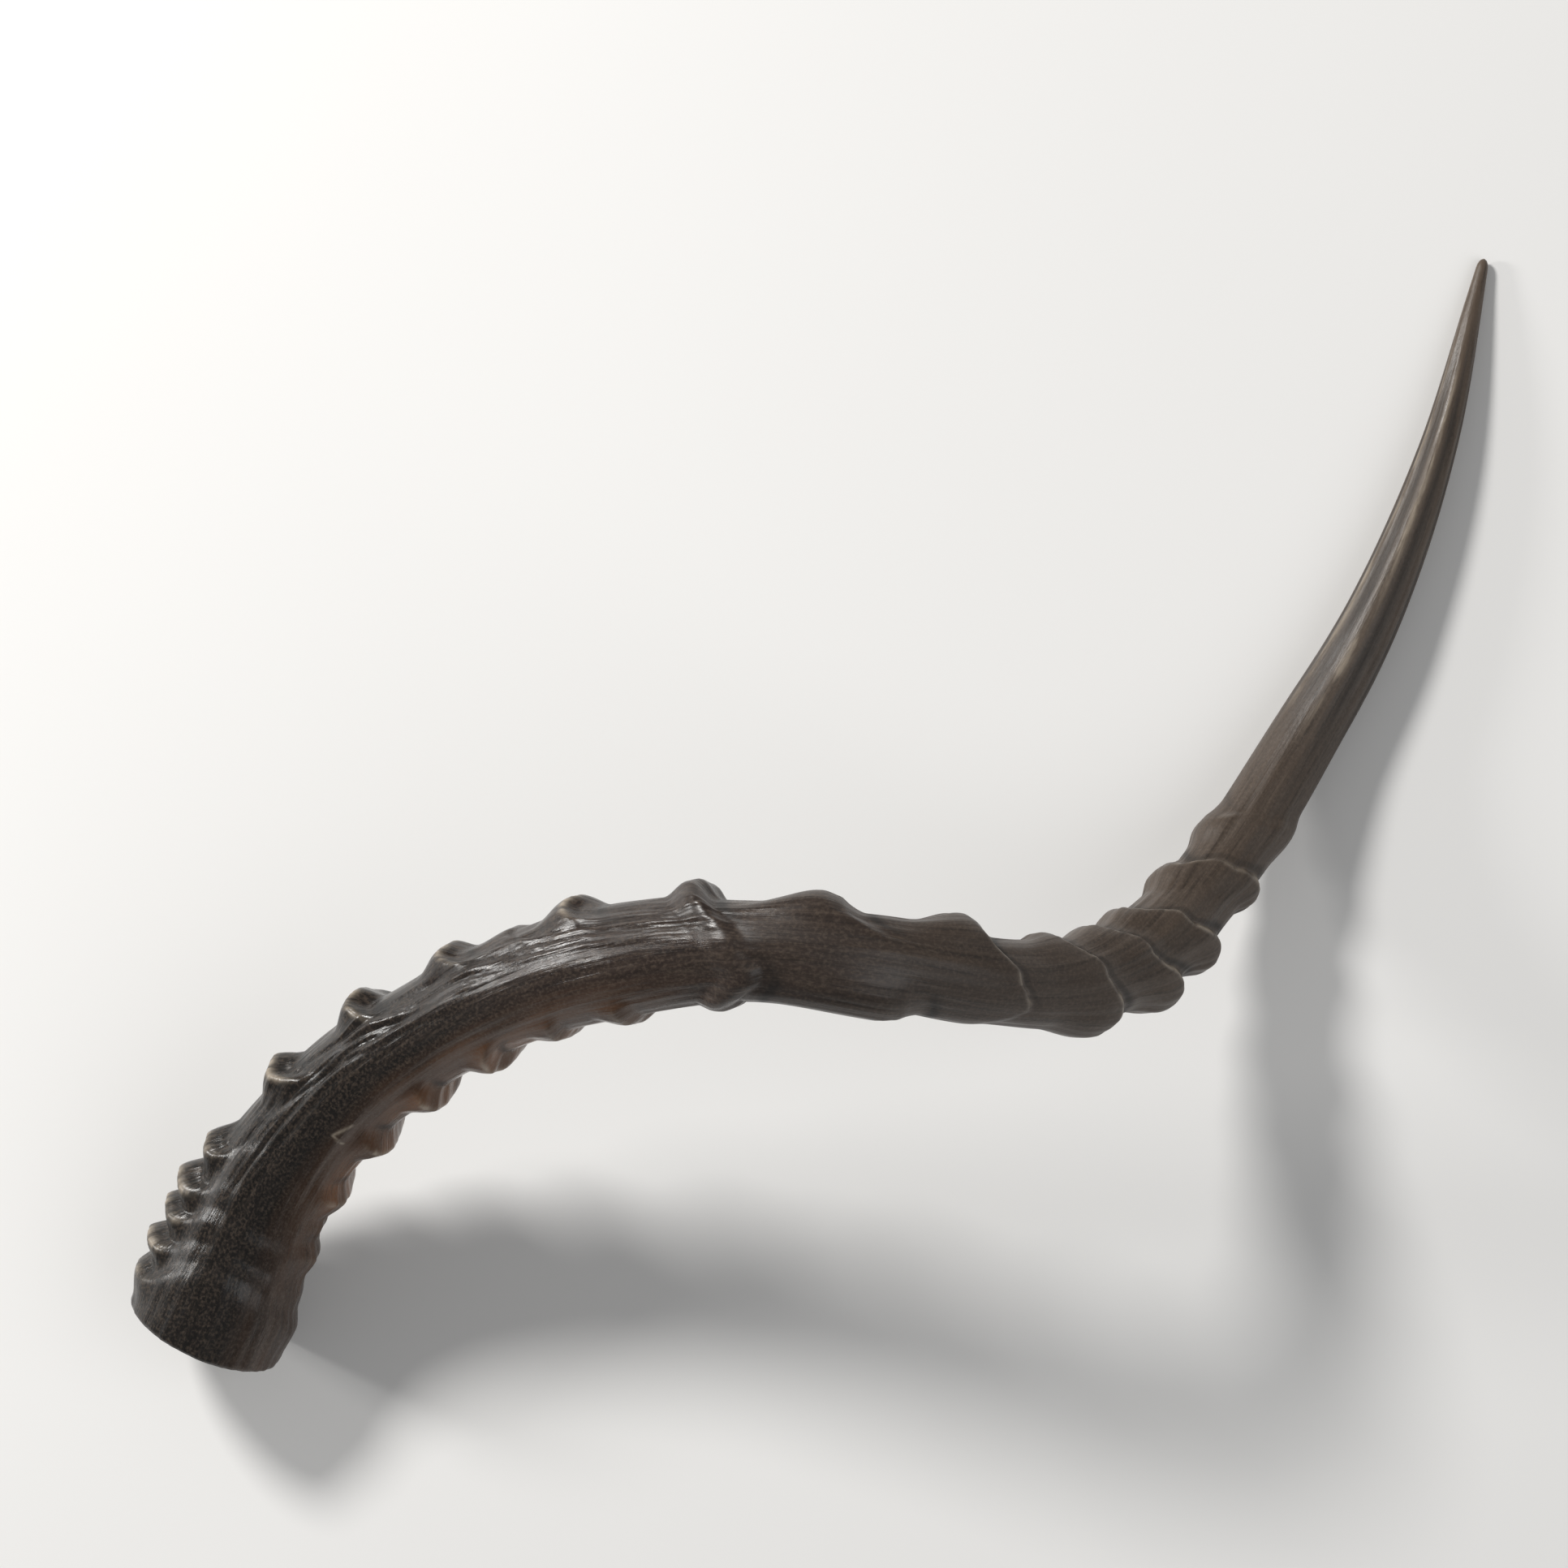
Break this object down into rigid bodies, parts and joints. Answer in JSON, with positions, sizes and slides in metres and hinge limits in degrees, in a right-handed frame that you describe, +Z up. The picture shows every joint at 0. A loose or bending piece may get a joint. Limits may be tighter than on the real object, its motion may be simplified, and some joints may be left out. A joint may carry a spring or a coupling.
{
  "type": "impala horn",
  "caption": "S-curved ringed antelope horn with a smooth tapering point, cut flat across its base and lying on its inner side.",
  "frame": {"origin": "on the surface the horn lies on, under the middle of its bounding box", "axes": "+Z up; +X from the base towards the point, the longest extent; +Y the way the point sweeps; the outer side of the horn faces up"},
  "size_m": [0.3926, 0.3212, 0.1412],
  "materials": {
    "horn": "satin keratin, near black at the base to grey-brown at the point, with fine lengthwise fibres and paler worn ring edges"
  },
  "bodies": {
    "root": {"horn": "horn"}
  },
  "joints": []
}
